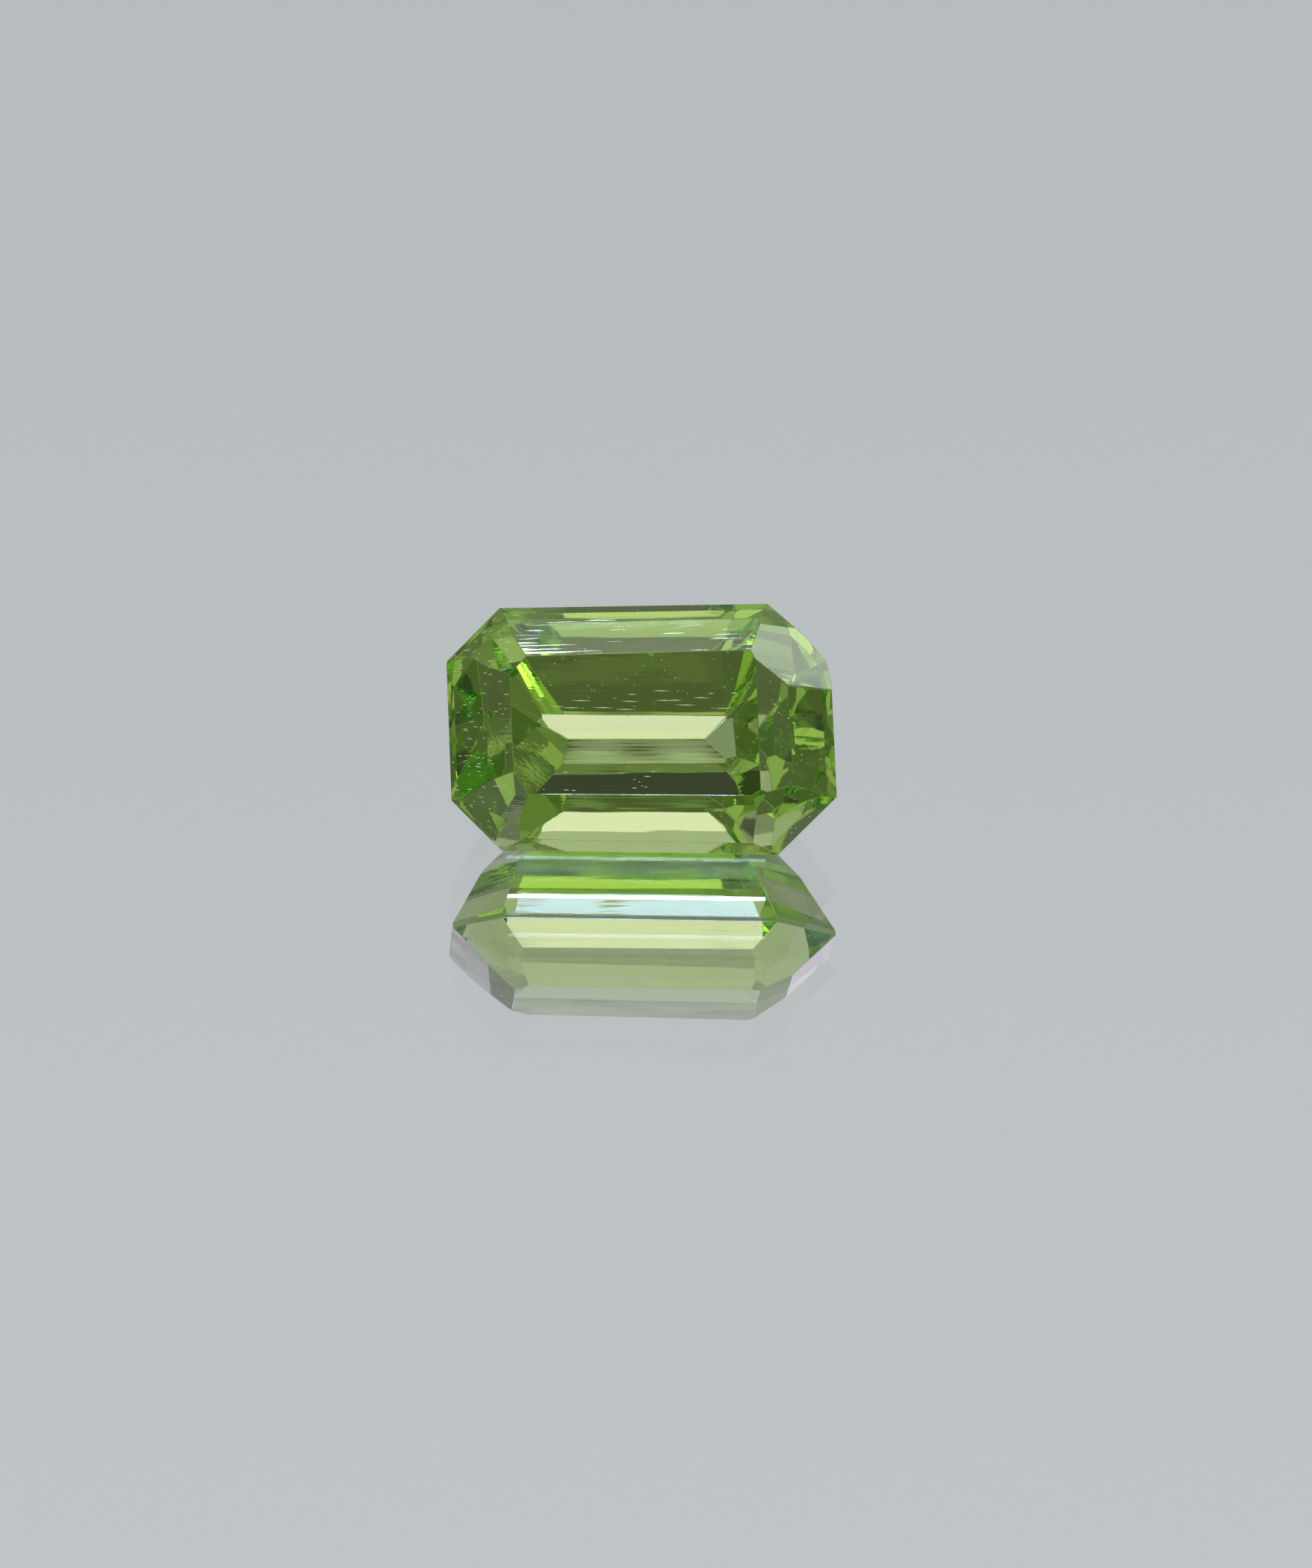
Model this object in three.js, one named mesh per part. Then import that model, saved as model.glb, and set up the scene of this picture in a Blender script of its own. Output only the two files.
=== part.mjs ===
// Emerald-cut peridot: one step-cut gem of transparent olive-green olivine, lying on a long pavilion facet.
// Millimetres, +Z up. The stone stands on the plane Z = 0, centred on X = 0 and Y = 0, and its table looks
// towards -Y and up.
//
// The stone is cut here as a lapidary cuts it: every facet is a flat, given by the compass direction it faces,
// its slope from the girdle plane and its distance from the middle of the stone. What is left inside all the
// flats is the gem. While it is being cut the stone has its own frame: X along its length, Y across it and
// Z out through the table, with the girdle at Z = 0.
import * as THREE from 'three';

// Driving dimensions of the stone's steps, in millimetres.
const GIRDLE_THICKNESS = 0.08;
const CROWN_HEIGHT = 1.06;
const UPPER_BREAK_DEPTH = 1.11;
const LOWER_BREAK_DEPTH = 2.36;

// Driving dimensions of the eight sides. A side faces the compass angle facing (degrees, anticlockwise from
// the +X end) and its girdle lies reach from the middle. The cut is a little uneven, as in a hand-cut stone:
// the ends lean, the far long side isn't quite parallel to the near one, and no two corners are alike.
// crown holds the slopes of the lower and the upper crown step, and tableFacing and tableReach place the
// edge where the upper step meets the table. pavilion holds the slopes of the three steps below the girdle,
// and keelFacing is the compass angle of the last of them, beside the keel.
const SIDES = [
  {
    name: 'near', facing: 270, reach: 2.265,
    crown: [72.5, 35], tableFacing: 270.5, tableReach: 1.31,
    pavilion: [61, 49, 33.5], keelFacing: 269,
  },
  {
    name: 'near right', facing: 315.6, reach: 3.393,
    crown: [48.5, 33.5], tableFacing: 306.5, tableReach: 2.26,
    pavilion: [54, 50, 46], keelFacing: 319,
  },
  {
    name: 'right', facing: 3.6, reach: 3.493,
    crown: [43.5, 29], tableFacing: 3, tableReach: 2.14,
    pavilion: [59.5, 47, 32.5], keelFacing: 2,
  },
  {
    name: 'far right', facing: 50.1, reach: 3.217,
    crown: [56.5, 48], tableFacing: 31, tableReach: 2.39,
    pavilion: [60, 47, 36.5], keelFacing: 44,
  },
  {
    name: 'far', facing: 91.8, reach: 2.237,
    crown: [58, 41.5], tableFacing: 92.5, tableReach: 1.27,
    pavilion: [54.5, 48.5, 37], keelFacing: 92.5,
  },
  {
    name: 'far left', facing: 136.4, reach: 3.383,
    crown: [56, 39], tableFacing: 138, tableReach: 2.34,
    pavilion: [59, 46, 31.5], keelFacing: 135.5,
  },
  {
    name: 'left', facing: 183.1, reach: 3.499,
    crown: [43.5, 40], tableFacing: 183.5, tableReach: 2.33,
    pavilion: [63.5, 50.5, 40.5], keelFacing: 182.5,
  },
  {
    name: 'near left', facing: 225.9, reach: 3.371,
    crown: [53, 40], tableFacing: 213, tableReach: 2.41,
    pavilion: [61, 44, 42], keelFacing: 218,
  },
];

// The stone rests on the second pavilion step of its near side, so it leans by that slope. It is turned a
// little about the vertical.
const LEAN = SIDES[0].pavilion[1];
const TURN = -1.5;

// Two corners of the stone closer together than this are one corner, in millimetres.
const SAME_CORNER = 1e-5;

function direction(facing, slope) {
  const compass = THREE.MathUtils.degToRad(facing);
  const tilt = THREE.MathUtils.degToRad(slope);
  return new THREE.Vector3(
    Math.cos(compass) * Math.sin(tilt),
    Math.sin(compass) * Math.sin(tilt),
    Math.cos(tilt),
  );
}

// A flat that faces the compass angle facing, slopes by slope from the girdle plane and passes at the
// distance reach from the middle at the height level. A slope over 90 degrees faces down.
function flat(facing, slope, reach, level) {
  const normal = direction(facing, slope);
  const point = direction(facing, 90).multiplyScalar(reach);
  point.z = level;
  return new THREE.Plane().setFromNormalAndCoplanarPoint(normal, point);
}

function crownFlats(side) {
  const [lowerSlope, upperSlope] = side.crown;
  return [
    flat(side.facing, lowerSlope, side.reach, GIRDLE_THICKNESS / 2),
    flat(side.tableFacing, upperSlope, side.tableReach, GIRDLE_THICKNESS / 2 + CROWN_HEIGHT),
  ];
}

function pavilionFlats(side) {
  const breaks = [0, UPPER_BREAK_DEPTH, LOWER_BREAK_DEPTH];
  const flats = [];
  let reach = side.reach;
  side.pavilion.forEach((slope, step) => {
    const level = -GIRDLE_THICKNESS / 2 - breaks[step];
    const lastStep = step === side.pavilion.length - 1;
    flats.push(flat(lastStep ? side.keelFacing : side.facing, 180 - slope, reach, level));
    if (!lastStep) {
      reach -= (breaks[step + 1] - breaks[step]) / Math.tan(THREE.MathUtils.degToRad(slope));
    }
  });
  return flats;
}

function allFlats() {
  const table = new THREE.Plane(new THREE.Vector3(0, 0, 1), -GIRDLE_THICKNESS / 2 - CROWN_HEIGHT);
  const flats = [table];
  for (const side of SIDES) {
    flats.push(flat(side.facing, 90, side.reach, 0));
    flats.push(...crownFlats(side));
    flats.push(...pavilionFlats(side));
  }
  return flats;
}

// The point where three flats meet, or null where they have none.
function meeting(a, b, c) {
  const across = new THREE.Vector3().crossVectors(b.normal, c.normal);
  const size = a.normal.dot(across);
  if (Math.abs(size) < 1e-9) {
    return null;
  }
  const point = across.multiplyScalar(-a.constant);
  point.addScaledVector(new THREE.Vector3().crossVectors(c.normal, a.normal), -b.constant);
  point.addScaledVector(new THREE.Vector3().crossVectors(a.normal, b.normal), -c.constant);
  return point.divideScalar(size);
}

function sameCorner(corners, point) {
  return corners.findIndex((corner) => corner.distanceTo(point) < SAME_CORNER);
}

// Every corner of the gem: a meeting of three flats that lies outside none of the others.
function gemCorners(flats) {
  const corners = [];
  for (let i = 0; i < flats.length; i += 1) {
    for (let j = i + 1; j < flats.length; j += 1) {
      for (let k = j + 1; k < flats.length; k += 1) {
        const point = meeting(flats[i], flats[j], flats[k]);
        const inside = point && flats.every((plane) => plane.distanceToPoint(point) < SAME_CORNER);
        if (inside && sameCorner(corners, point) < 0) {
          corners.push(point);
        }
      }
    }
  }
  return corners;
}

// The corners that lie on one flat, in order round the facet as seen from outside.
function facetOutline(plane, corners) {
  const onFlat = [];
  corners.forEach((corner, index) => {
    if (Math.abs(plane.distanceToPoint(corner)) < SAME_CORNER) {
      onFlat.push(index);
    }
  });
  const middle = new THREE.Vector3();
  onFlat.forEach((index) => middle.addScaledVector(corners[index], 1 / onFlat.length));
  const ahead = new THREE.Vector3().subVectors(corners[onFlat[0]], middle).normalize();
  const aside = new THREE.Vector3().crossVectors(plane.normal, ahead);
  const angle = (index) => {
    const arm = new THREE.Vector3().subVectors(corners[index], middle);
    return Math.atan2(arm.dot(aside), arm.dot(ahead));
  };
  return onFlat.sort((a, b) => angle(a) - angle(b));
}

function gemGeometry() {
  const flats = allFlats();
  const corners = gemCorners(flats);
  const triangles = [];
  for (const plane of flats) {
    const outline = facetOutline(plane, corners);
    for (let n = 1; n + 1 < outline.length; n += 1) {
      triangles.push(outline[0], outline[n], outline[n + 1]);
    }
  }
  const geometry = new THREE.BufferGeometry();
  geometry.setAttribute('position', new THREE.Float32BufferAttribute(corners.flatMap((p) => p.toArray()), 3));
  geometry.setIndex(triangles);
  return geometry;
}

// Lays the cut stone on its resting facet, turns it and sets it down centred on the origin.
function layDown(geometry) {
  geometry.rotateX(THREE.MathUtils.degToRad(LEAN));
  geometry.rotateZ(THREE.MathUtils.degToRad(TURN));
  geometry.computeBoundingBox();
  const { min, max } = geometry.boundingBox;
  geometry.translate(-(min.x + max.x) / 2, -(min.y + max.y) / 2, -min.z);
  return geometry;
}

function peridot() {
  const olive = new THREE.MeshStandardMaterial({ color: 0x6f9a2c, roughness: 0.04, metalness: 0 });
  olive.transparent = true;
  olive.opacity = 0.6;
  const stone = new THREE.Mesh(layDown(gemGeometry()), olive);
  stone.name = 'peridot';
  return stone;
}

const gem = new THREE.Group();
gem.add(peridot());

export default gem;
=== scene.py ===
"""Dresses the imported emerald-cut peridot: a clear, olive-green step-cut gem lying on a glass plate.

Every object is in metres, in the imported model's frame: +X along the stone, +Z up from the plate, the table
looking towards -Y and up.
"""

import math
import random

import bmesh
import bpy
from mathutils import Matrix, Vector


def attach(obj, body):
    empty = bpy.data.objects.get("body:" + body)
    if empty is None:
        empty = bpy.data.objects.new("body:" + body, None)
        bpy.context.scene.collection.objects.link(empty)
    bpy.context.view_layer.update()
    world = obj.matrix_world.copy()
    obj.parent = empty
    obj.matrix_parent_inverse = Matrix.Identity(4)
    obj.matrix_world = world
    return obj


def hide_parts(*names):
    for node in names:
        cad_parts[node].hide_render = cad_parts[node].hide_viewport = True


MM = 0.001

# The camera, as in the photograph: a long lens looking down at the stone.
CAMERA_ELEVATION = 35.97
CAMERA_DISTANCE = 275 * MM
CAMERA_AIM = Vector((0.263, 0.323, 0.444)) * MM
PICTURE_HEIGHT_AT_AIM = 28.65 * MM
SENSOR_LONG_SIDE = 36.0
NEAREST_SEEN = 10 * MM
FARTHEST_SEEN = 10.0

# The plate is thin glass over a mirror, which doubles the stone's image as in the photograph. It is set to
# one side, so that no edge of its faces runs under the stone.
PLATE_THICKNESS = 0.94 * MM
PLATE_HALF_WIDTH = 1.5
PLATE_SHIFT = 0.6
PLATE_GAP = 0.002 * MM
PLATE_IOR = 1.5
MIRROR_COLOR = (0.93, 0.935, 0.94)
CLEAR = (1.0, 1.0, 1.0)
FACES_DOWN = -0.5

# Peridot: its refractive index, and how much of red, green and blue a metre of it takes away. The density
# only scales the shader's colour.
PERIDOT_IOR = 1.67
ABSORPTION_PER_METRE = (70.0, 18.0, 228.0)
ABSORPTION_DENSITY = 240.0

# The polish isn't quite flat: slow waves, and fine lines along the stone. It is rougher where it is
# scratched, and on the girdle and the worn edges.
WAVE_LENGTH = 1.7 * MM
WAVE_HEIGHT = 0.012 * MM
LINE_SPACING = 0.07 * MM
LINE_STRETCH = 0.04
LINE_HEIGHT = 0.00035 * MM
SCRATCH_SPACING = 0.11 * MM
SCRATCH_DETAIL = 2.0
SCRATCH_THRESHOLD = (0.6, 0.72)
POLISHED_ROUGHNESS = (0.008, 0.05)
WORN_ROUGHNESS = (0.22, 0.4)

# The studio round the stone. Its walls are dark at the foot, pale above that, and of other greys higher up.
# Heights and pitches are in degrees, each pair from where a change starts to where it ends.
WALL_FOOT = 0.13
WALL_FOOT_TOP = (10.5, 12.5)
WALL_BY_FLOOR = 0.44
WALL_BY_FLOOR_TOP = (20, 34)
WALL_TURN_TO_FRONT = (95, 125)
WALL_BEHIND = 0.27
WALL_IN_FRONT = 0.15
WALL_TINT = (0.95, 1.0, 1.03)
PANEL_TINT = (1.01, 0.93, 1.14)
PANEL_TINT_FROM = 0.7

# The panels over the stone: from and to which pitch, how soft, how far to each side, how softly there, and
# how bright. Pitch is in degrees from the wall behind the stone, over the top, to the camera's side. A
# later row covers an earlier one.
PANELS = (
    (-10, 41, 2, 20, 14, 0.53),
    (40, 41, 8, 20, 14, 0.59),
    (15.5, 18.5, 1, 16, 6, 0.3),
    (24, 31, 1.5, 16, 6, 0.36),
    (44, 50.4, 1.5, 12, 6, 1.05),
    (51.4, 55, 0.7, 14, 8, 0.3),
    (56, 61.5, 1, 14, 8, 0.6),
    (62.5, 69.5, 1, 26, 14, 0.05),
    (71, 76, 1, 14, 8, 1.12),
    (77, 98, 2, 20, 12, 0.6),
    (101, 112, 2, 22, 14, 0.14),
    (113, 178, 2, 30, 20, 0.12),
)

# Single cards, pale or dark: from and to which pitch, from and to which lean, and how bright.
CARDS = (
    (98, 112, -70, -52, 0.75),
    (31, 42, 48, 61, 3.0),
    (136, 152, -42, -24, 0.6),
    (143, 149, 2, 9, 0.5),
    (149.5, 154, -2, 8, 0.3),
    (42, 55, -60, -46, 0.08),
    (40, 50, 24, 36, 0.18),
    (124, 138, 57, 70, 0.18),
    (122, 130, 16, 25, 0.03),
    (127, 131.4, -2, 8, 0.24),
    (134.7, 139, -14, 8, 0.05),
)
CARD_SOFTNESS = 1.5

# The lamps, small and bright among the panels, and the coloured light at their rims: pitch, lean, half the
# height, half the width, the brightness and the colour.
LAMPS = (
    (51.4, -4.5, 0.12, 2.5, 8.0, (0.5, 0.6, 1.0)),
    (51.1, -4.5, 0.12, 2.5, 8.0, (1.0, 0.75, 0.4)),
    (50.8, -4.5, 0.1, 2.5, 13.0, (0.95, 0.98, 1.05)),
    (57.3, -2.0, 0.3, 5.0, 6.0, (0.8, 0.35, 2.4)),
    (58.3, -1.0, 0.6, 5.0, 14.0, (0.62, 0.74, 2.5)),
)
LAMP_SOFTNESS = 0.15
LAMP_SIDE_SOFTNESS = 0.5

# How the stone lies: its table's slope, and its turn about the vertical. The marks and worn edges follow
# them.
STONE_LEAN = math.radians(49)
STONE_TURN = math.radians(-1.5)

# The polish rounds every edge of the stone by this much, and wear has taken more off some: the keel, and
# the edge between the upper crown steps of the right side and the far right corner. Slopes are counted from
# the table, and the compass from the right end, in degrees.
EDGE_WIDTH = 0.014 * MM
WORN_WIDTH = 0.045 * MM
KEEL_WEAR = 0.5
CORNER_WEAR = 1.0
KEEL_SLOPE = 135
CROWN_SLOPES = (5, 85)
RIGHT_COMPASS = 12
FAR_RIGHT_COMPASS = (20, 60)
GIRDLE_SLOPE = 90
SAME_SLOPE = 1
EDGE_SEGMENTS = 2
SAME_PLACE = 0.0005 * MM
SAME_FACET_ANGLE = math.radians(0.05)

# Marks on the crown: how many, from and to where along the stone, from and to which length, and how wide,
# in millimetres.
MARKS = (
    (110, -3.45, -2.3, 0.05, 0.17, 0.015),
    (110, -2.3, 2.4, 0.02, 0.04, 0.018),
    (30, 2.4, 3.4, 0.02, 0.08, 0.018),
)
MARK_HEIGHT = 0.004 * MM
MARK_LIFT = 0.0006 * MM
MARK_TILT = math.radians(14)
MARK_SEED = 7
MARK_REACH = 0.94
CROWN_FACING = 0.3
DUST_COLORS = ((0.62, 0.7, 0.42), (0.92, 0.93, 0.8))
DUST_PATCHES = 0.3 * MM
DUST_ROUGHNESS = 0.6
# The marks glow faintly in this colour and at this strength: a painted glint, standing in for lamp light
# catching them, though they are no lamp.
MARK_PAINTED_GLINT = (0.9, 1.0, 0.75)
MARK_PAINTED_GLINT_STRENGTH = 0.3

# Long dashes on the table: how many, from and to how far up it from its middle, and from and to which
# length, in millimetres.
DASHES = (
    (16, 0.22, 0.62, 0.10, 0.42),
    (8, -1.28, -0.85, 0.06, 0.2),
)
DASH_WIDTH = 0.018
DASH_REACH = 1.9

# How often light may bounce, and pass a transparent surface.
BOUNCES = 40
TRANSPARENT_BOUNCES = 16


def linear_to_shader(color):
    """A colour as a shader socket takes it."""
    return (*color, 1.0)


def new_material(name):
    """An empty node material with its Principled shader and its output."""
    material = bpy.data.materials.new(name)
    material.use_nodes = True
    return material, material.node_tree.nodes["Principled BSDF"]


def camera():
    """The photograph's view."""
    data = bpy.data.cameras.new("camera")
    data.sensor_width = SENSOR_LONG_SIDE
    data.sensor_fit = "AUTO"
    data.lens = SENSOR_LONG_SIDE * CAMERA_DISTANCE / PICTURE_HEIGHT_AT_AIM
    data.clip_start = NEAREST_SEEN
    data.clip_end = FARTHEST_SEEN
    looker = bpy.data.objects.new("camera", data)
    bpy.context.scene.collection.objects.link(looker)
    tilt = math.radians(CAMERA_ELEVATION)
    away = Vector((0, -math.cos(tilt), math.sin(tilt)))
    looker.location = CAMERA_AIM + away * CAMERA_DISTANCE
    looker.rotation_euler = (math.pi / 2 - tilt, 0, 0)
    bpy.context.scene.camera = looker


def math_node(tree, operation, *values):
    """A Math node of the tree, with numbers or other nodes' outputs for its inputs."""
    node = tree.nodes.new("ShaderNodeMath")
    node.operation = operation
    for socket, value in zip(node.inputs, values):
        if isinstance(value, (int, float)):
            socket.default_value = value
        else:
            tree.links.new(value, socket)
    return node.outputs[0]


def soft_step(tree, value, low, high):
    """Rises smoothly from 0 at low to 1 at high."""
    node = tree.nodes.new("ShaderNodeMapRange")
    node.interpolation_type = "SMOOTHSTEP"
    tree.links.new(value, node.inputs["Value"])
    node.inputs["From Min"].default_value = low
    node.inputs["From Max"].default_value = high
    return node.outputs["Result"]


def window(tree, value, low, high, softness):
    """1 between low and high, falling smoothly to 0 within softness outside them."""
    rise = soft_step(tree, value, low - softness, low)
    fall = soft_step(tree, value, high + softness, high)
    return math_node(tree, "MULTIPLY", rise, fall)


def tint(tree, share, below, above):
    """A colour between below and above, each a colour or another node's output."""
    node = tree.nodes.new("ShaderNodeMix")
    node.data_type = "RGBA"
    tree.links.new(share, node.inputs["Factor"])
    for socket, value in ((node.inputs["A"], below), (node.inputs["B"], above)):
        if isinstance(value, tuple):
            socket.default_value = linear_to_shader(value)
        else:
            tree.links.new(value, socket)
    return node.outputs["Result"]


def shade(level, color):
    """This colour at this brightness."""
    return tuple(level * part for part in color)


def noise(tree, place, length, stretch=1.0, detail=1.0):
    """Smooth noise of this wave length, drawn out along X where stretch is under 1."""
    mapping = tree.nodes.new("ShaderNodeMapping")
    mapping.inputs["Scale"].default_value = (stretch / length, 1 / length, 1 / length)
    tree.links.new(place, mapping.inputs["Vector"])
    node = tree.nodes.new("ShaderNodeTexNoise")
    node.inputs["Scale"].default_value = 1.0
    node.inputs["Detail"].default_value = detail
    tree.links.new(mapping.outputs[0], node.inputs["Vector"])
    return node.outputs["Fac"]


def bump(tree, height, distance, below=None):
    """A Bump node for this height pattern, on top of the normal below it."""
    node = tree.nodes.new("ShaderNodeBump")
    node.inputs["Strength"].default_value = 1.0
    node.inputs["Distance"].default_value = distance
    tree.links.new(height, node.inputs["Height"])
    if below is not None:
        tree.links.new(below, node.inputs["Normal"])
    return node.outputs["Normal"]


def sky():
    """The studio round the stone, as the light that comes from each direction.

    Pitch runs over the stone from the wall behind it, 0, by way of the ceiling, 90, to the camera's side,
    180. Lean is how far a direction points to the left or right of that arc.
    """
    world = bpy.data.worlds.new("studio")
    bpy.context.scene.world = world
    world.use_nodes = True
    tree = world.node_tree
    direction = tree.nodes.new("ShaderNodeTexCoord").outputs["Generated"]
    apart = tree.nodes.new("ShaderNodeSeparateXYZ")
    tree.links.new(direction, apart.inputs[0])
    x, y, z = apart.outputs
    degrees = 180 / math.pi
    pitch = math_node(tree, "MULTIPLY", math_node(tree, "ARCTAN2", z, y), degrees)
    lean = math_node(tree, "MULTIPLY", math_node(tree, "ARCSINE", x), degrees)
    height = math_node(tree, "MULTIPLY", math_node(tree, "ARCSINE", z), degrees)

    front = soft_step(tree, pitch, *WALL_TURN_TO_FRONT)
    walls = tint(tree, front, shade(WALL_BEHIND, WALL_TINT), shade(WALL_IN_FRONT, WALL_TINT))
    foot = soft_step(tree, height, *WALL_FOOT_TOP)
    light = tint(tree, foot, shade(WALL_FOOT, WALL_TINT), shade(WALL_BY_FLOOR, WALL_TINT))
    light = tint(tree, soft_step(tree, height, *WALL_BY_FLOOR_TOP), light, walls)
    for low, high, softness, reach, fade, level in PANELS:
        share = window(tree, pitch, low, high, softness)
        inside = window(tree, lean, -reach, reach, fade)
        color = PANEL_TINT if level > PANEL_TINT_FROM else WALL_TINT
        light = tint(tree, math_node(tree, "MULTIPLY", share, inside), light, shade(level, color))
    for low, high, left, right, level in CARDS:
        share = window(tree, pitch, low, high, CARD_SOFTNESS)
        inside = window(tree, lean, left, right, CARD_SOFTNESS)
        light = tint(tree, math_node(tree, "MULTIPLY", share, inside), light, shade(level, WALL_TINT))
    for lamp_pitch, lamp_lean, half_height, half_width, level, color in LAMPS:
        left, right = lamp_lean - half_width, lamp_lean + half_width
        low, high = lamp_pitch - half_height, lamp_pitch + half_height
        across = window(tree, lean, left, right, LAMP_SIDE_SOFTNESS)
        along = window(tree, pitch, low, high, LAMP_SOFTNESS)
        light = tint(tree, math_node(tree, "MULTIPLY", along, across), light, shade(level, color))
    tree.links.new(light, tree.nodes["Background"].inputs["Color"])


def plate():
    """The glass plate the stone lies on, with its mirrored back."""
    low = -PLATE_GAP - PLATE_THICKNESS
    mesh = bpy.data.meshes.new("plate")
    body = bmesh.new()
    bmesh.ops.create_cube(body, size=1)
    for vertex in body.verts:
        vertex.co.x = 2 * PLATE_HALF_WIDTH * vertex.co.x + PLATE_SHIFT
        vertex.co.y *= 2 * PLATE_HALF_WIDTH
        vertex.co.z = -PLATE_GAP if vertex.co.z > 0 else low
    for face in body.faces:
        face.material_index = 1 if face.normal.z < FACES_DOWN else 0
    body.to_mesh(mesh)
    body.free()
    floor = bpy.data.objects.new("plate", mesh)
    bpy.context.scene.collection.objects.link(floor)

    glass, shader = new_material("plate_glass")
    shader.inputs["Base Color"].default_value = linear_to_shader(CLEAR)
    shader.inputs["Roughness"].default_value = 0.0
    shader.inputs["IOR"].default_value = PLATE_IOR
    shader.inputs["Transmission Weight"].default_value = 1.0
    mirror, shader = new_material("plate_mirror")
    shader.inputs["Base Color"].default_value = linear_to_shader(MIRROR_COLOR)
    shader.inputs["Metallic"].default_value = 1.0
    shader.inputs["Roughness"].default_value = 0.0
    mesh.materials.append(glass)
    mesh.materials.append(mirror)


def peridot_material(name, roughness):
    """Clear olive-green peridot, coloured by its depth, with the polisher's slow waves and fine lines.

    The roughness goes from the first of the two values to the second where the surface is scratched.
    """
    material, shader = new_material(name)
    tree = material.node_tree
    shader.inputs["Base Color"].default_value = linear_to_shader(CLEAR)
    shader.inputs["IOR"].default_value = PERIDOT_IOR
    shader.inputs["Transmission Weight"].default_value = 1.0
    place = tree.nodes.new("ShaderNodeTexCoord").outputs["Object"]
    waves = bump(tree, noise(tree, place, WAVE_LENGTH), WAVE_HEIGHT)
    line_pattern = noise(tree, place, LINE_SPACING, LINE_STRETCH)
    lines = bump(tree, line_pattern, LINE_HEIGHT, waves)
    tree.links.new(lines, shader.inputs["Normal"])
    scratch_pattern = noise(tree, place, SCRATCH_SPACING, LINE_STRETCH, SCRATCH_DETAIL)
    scratched = soft_step(tree, scratch_pattern, *SCRATCH_THRESHOLD)
    smoothest, roughest = roughness
    rough = math_node(tree, "MULTIPLY_ADD", scratched, roughest - smoothest, smoothest)
    tree.links.new(rough, shader.inputs["Roughness"])
    depth = tree.nodes.new("ShaderNodeVolumeAbsorption")
    depth.inputs["Density"].default_value = ABSORPTION_DENSITY
    color = [1 - loss / ABSORPTION_DENSITY for loss in ABSORPTION_PER_METRE]
    depth.inputs["Color"].default_value = linear_to_shader(color)
    tree.links.new(depth.outputs["Volume"], tree.nodes["Material Output"].inputs["Volume"])
    return material


def mark_material():
    """The pale dust and broken surface in a scratch, with a faint glow added as a painted glint."""
    material, shader = new_material("scratch_dust_and_painted_glint")
    tree = material.node_tree
    place = tree.nodes.new("ShaderNodeTexCoord").outputs["Object"]
    color = tint(tree, noise(tree, place, DUST_PATCHES), *DUST_COLORS)
    tree.links.new(color, shader.inputs["Base Color"])
    shader.inputs["Roughness"].default_value = DUST_ROUGHNESS
    # Painted glint: the emission makes the marks glow by themselves, as if a lamp caught them.
    shader.inputs["Emission Color"].default_value = linear_to_shader(MARK_PAINTED_GLINT)
    shader.inputs["Emission Strength"].default_value = MARK_PAINTED_GLINT_STRENGTH
    return material


def stone_axes():
    """The stone's own axes as it lies: along it, up its table, and out through its table."""
    turn = Matrix.Rotation(STONE_TURN, 3, "Z") @ Matrix.Rotation(STONE_LEAN, 3, "X")
    return turn.col[0], turn.col[1], turn.col[2]


def cut_angles(normal):
    """The compass angle and the slope of a facet, as the cutter counts them, in degrees."""
    along, up, out = stone_axes()
    compass = math.degrees(math.atan2(normal.dot(up), normal.dot(along))) % 360
    return compass, math.degrees(math.acos(max(-1.0, min(1.0, normal.dot(out)))))


def wear(edge):
    """How much of the greatest wear an edge has."""
    if len(edge.link_faces) != 2:
        return 0.0
    (compass, slope), (other, other_slope) = sorted(cut_angles(face.normal) for face in edge.link_faces)
    on_crown = min(slope, other_slope) > CROWN_SLOPES[0] and max(slope, other_slope) < CROWN_SLOPES[1]
    far_right = FAR_RIGHT_COMPASS[0] < other < FAR_RIGHT_COMPASS[1]
    if on_crown and compass < RIGHT_COMPASS and far_right:
        return CORNER_WEAR
    if min(slope, other_slope) > KEEL_SLOPE:
        return KEEL_WEAR
    return EDGE_WIDTH / WORN_WIDTH


def place_of(face, mesh):
    """A facet's middle, normal, area and corners."""
    corners = [mesh.vertices[index].co.copy() for index in face.vertices]
    return face.center.copy(), face.normal.copy(), face.area, corners


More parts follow.
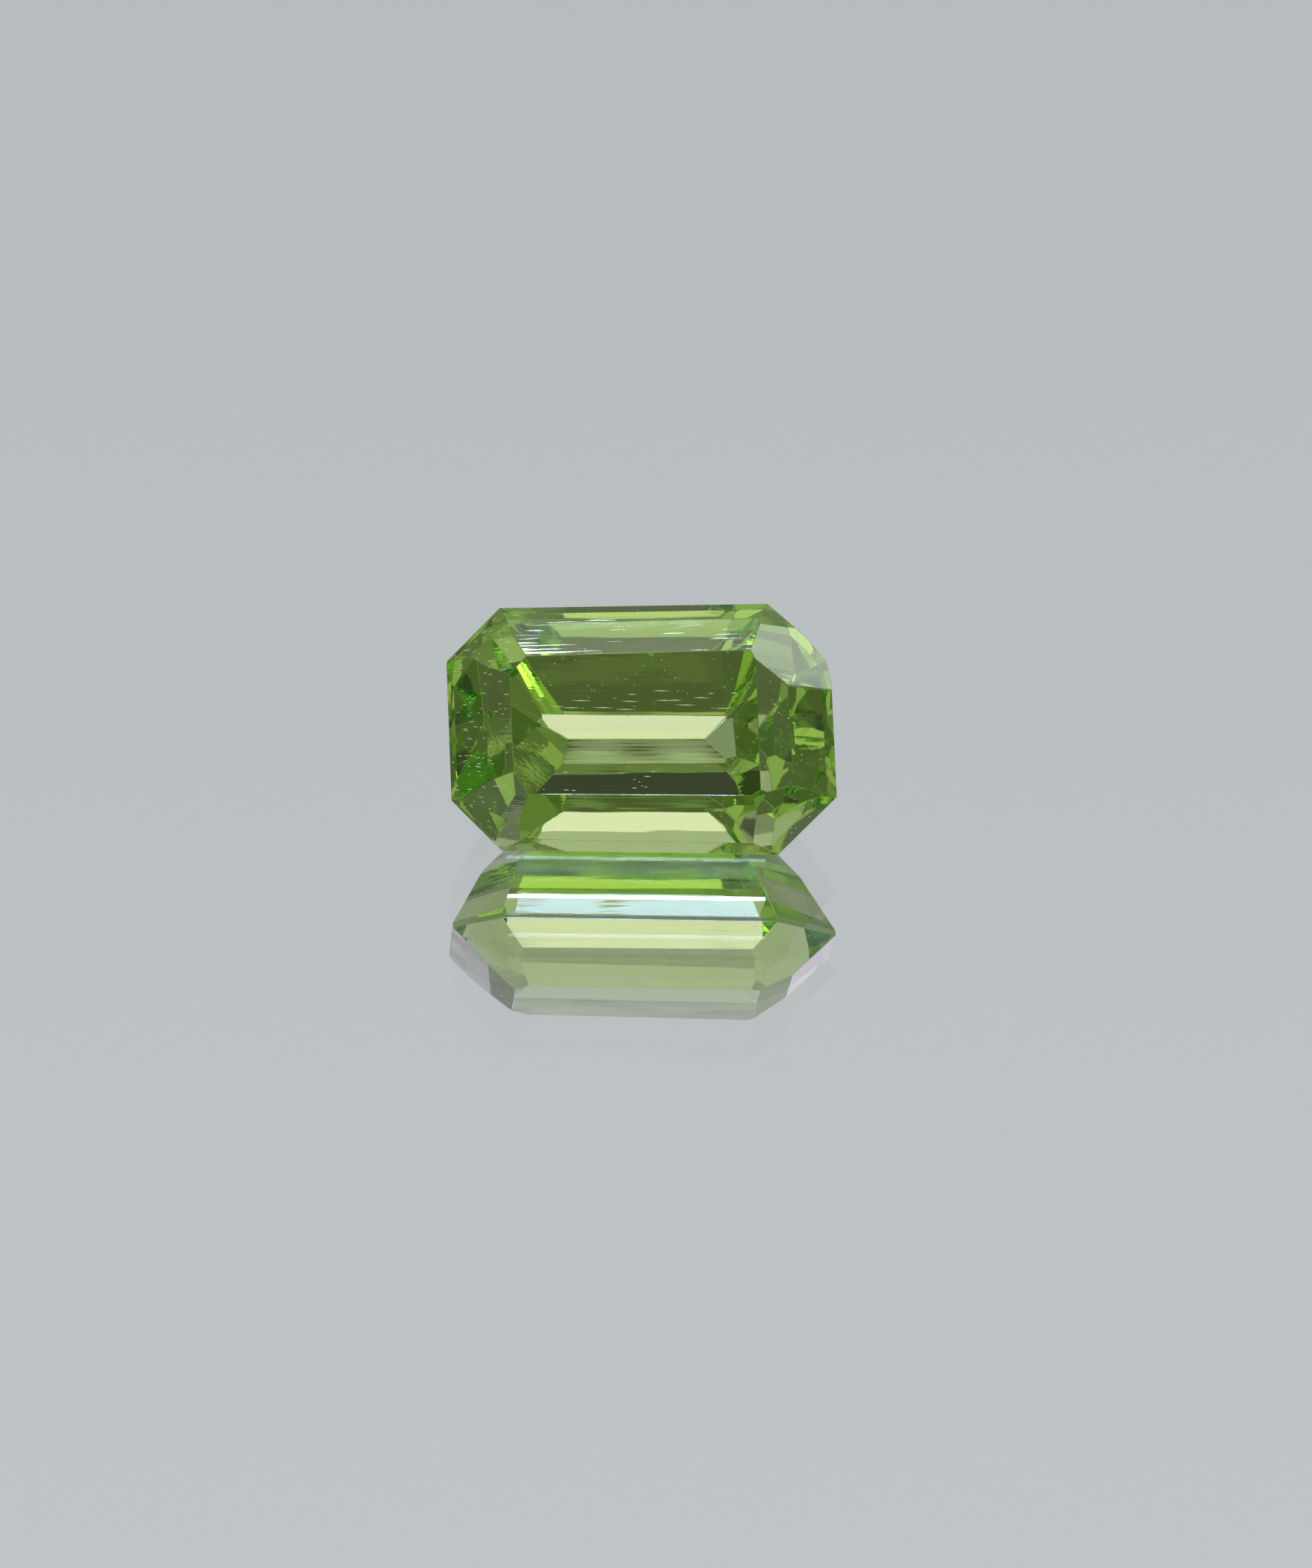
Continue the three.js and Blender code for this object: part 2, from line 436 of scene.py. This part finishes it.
def stone(node):
    """The gem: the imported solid's own facets, with softly worn edges. Returns the facets."""
    mesh = bpy.data.meshes.new("cut_stone")
    body = bmesh.new()
    body.from_mesh(node.data)
    bmesh.ops.remove_doubles(body, verts=body.verts, dist=SAME_PLACE)
    bmesh.ops.dissolve_limit(body, angle_limit=SAME_FACET_ANGLE, verts=body.verts, edges=body.edges)
    bmesh.ops.recalc_face_normals(body, faces=body.faces)
    weights = body.edges.layers.float.new("bevel_weight_edge")
    for edge in body.edges:
        edge[weights] = wear(edge)
    body.to_mesh(mesh)
    body.free()
    cut = bpy.data.objects.new("cut_stone", mesh)
    bpy.context.scene.collection.objects.link(cut)
    rounding = cut.modifiers.new("rounding", "BEVEL")
    rounding.limit_method = "WEIGHT"
    rounding.width = WORN_WIDTH
    rounding.offset_type = "WIDTH"
    rounding.segments = EDGE_SEGMENTS
    rounding.material = 1
    for face in mesh.polygons:
        slope = cut_angles(face.normal)[1]
        face.material_index = 1 if abs(slope - GIRDLE_SLOPE) < SAME_SLOPE else 0
    mesh.materials.append(peridot_material("peridot", POLISHED_ROUGHNESS))
    mesh.materials.append(peridot_material("peridot_worn_edge", WORN_ROUGHNESS))
    rounded = cut.evaluated_get(bpy.context.evaluated_depsgraph_get())
    gem = bpy.data.objects.new("peridot_stone", bpy.data.meshes.new_from_object(rounded))
    gem.data.name = "peridot_stone"
    bpy.context.scene.collection.objects.link(gem)
    facets = [place_of(face, mesh) for face in mesh.polygons]
    bpy.data.objects.remove(cut)
    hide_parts("peridot")
    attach(gem, "root")
    return facets


def sliver(body, place, along, out, length, width):
    """A thin closed grain lying on a facet: two ends, two sides, a top and a bottom."""
    side = out.cross(along).normalized()
    middle = place + out * (MARK_LIFT + MARK_HEIGHT / 2)
    ends = [body.verts.new(middle + along * sign * length / 2) for sign in (1, -1)]
    sides = [body.verts.new(middle + side * sign * width / 2) for sign in (1, -1)]
    top = body.verts.new(middle + out * MARK_HEIGHT / 2)
    bottom = body.verts.new(middle - out * MARK_HEIGHT / 2)
    ring = (ends[0], sides[0], ends[1], sides[1])
    for n in range(4):
        body.faces.new((ring[n], ring[(n + 1) % 4], top))
        body.faces.new((ring[(n + 1) % 4], ring[n], bottom))


def random_point(corners, draw):
    """A random place on a convex facet, a little in from its edges."""
    middle = sum(corners, Vector()) / len(corners)
    areas = [(a - middle).cross(b - middle).length for a, b in zip(corners, corners[1:] + corners[:1])]
    n = draw.choices(range(len(corners)), areas)[0]
    a, b = corners[n], corners[(n + 1) % len(corners)]
    reach = MARK_REACH * math.sqrt(draw.random())
    return middle + (a - middle).lerp(b - middle, draw.random()) * reach


def marks(facets):
    """The short scratches on the crown and the long dashes on the table, as one mesh of slivers."""
    draw = random.Random(MARK_SEED)
    along, up, out = stone_axes()
    crown = [facet for facet in facets if facet[1].dot(out) > CROWN_FACING]
    crown_areas = [area for _, _, area, _ in crown]
    table_middle, table_out, _, _ = max(crown, key=lambda facet: facet[1].dot(out))
    body = bmesh.new()
    for count, low, high, shortest, longest, width in MARKS:
        placed = 0
        while placed < count:
            _, facing, _, corners = draw.choices(crown, crown_areas)[0]
            place = random_point(corners, draw)
            if not low * MM < place.dot(along) < high * MM:
                continue
            line = along - facing * along.dot(facing)
            line = Matrix.Rotation(draw.uniform(-MARK_TILT, MARK_TILT), 3, facing) @ line.normalized()
            sliver(body, place, line, facing, draw.uniform(shortest, longest) * MM, width * MM)
            placed += 1
    for count, low, high, shortest, longest in DASHES:
        for _ in range(count):
            aside = along * draw.uniform(-DASH_REACH, DASH_REACH) * MM
            place = table_middle + aside + up * draw.uniform(low, high) * MM
            sliver(body, place, along, table_out, draw.uniform(shortest, longest) * MM, DASH_WIDTH * MM)
    mesh = bpy.data.meshes.new("crown_scratches")
    body.to_mesh(mesh)
    body.free()
    mesh.materials.append(mark_material())
    piece = bpy.data.objects.new("crown_scratches", mesh)
    bpy.context.scene.collection.objects.link(piece)
    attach(piece, "root")


def light_paths():
    """Lets light cross and bounce inside the gem as often as it does in the real one."""
    cycles = bpy.context.scene.cycles
    cycles.max_bounces = BOUNCES
    cycles.transmission_bounces = BOUNCES
    cycles.glossy_bounces = BOUNCES
    cycles.transparent_max_bounces = TRANSPARENT_BOUNCES
    cycles.use_adaptive_sampling = False
    bpy.context.scene.view_settings.view_transform = "Standard"


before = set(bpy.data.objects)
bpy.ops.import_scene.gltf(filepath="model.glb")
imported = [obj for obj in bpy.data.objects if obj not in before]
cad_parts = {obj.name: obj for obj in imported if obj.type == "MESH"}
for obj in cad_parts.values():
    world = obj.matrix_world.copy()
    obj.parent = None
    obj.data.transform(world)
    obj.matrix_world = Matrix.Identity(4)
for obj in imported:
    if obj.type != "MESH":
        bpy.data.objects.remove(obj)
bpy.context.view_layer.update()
camera()
sky()
plate()
marks(stone(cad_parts["peridot"]))
light_paths()
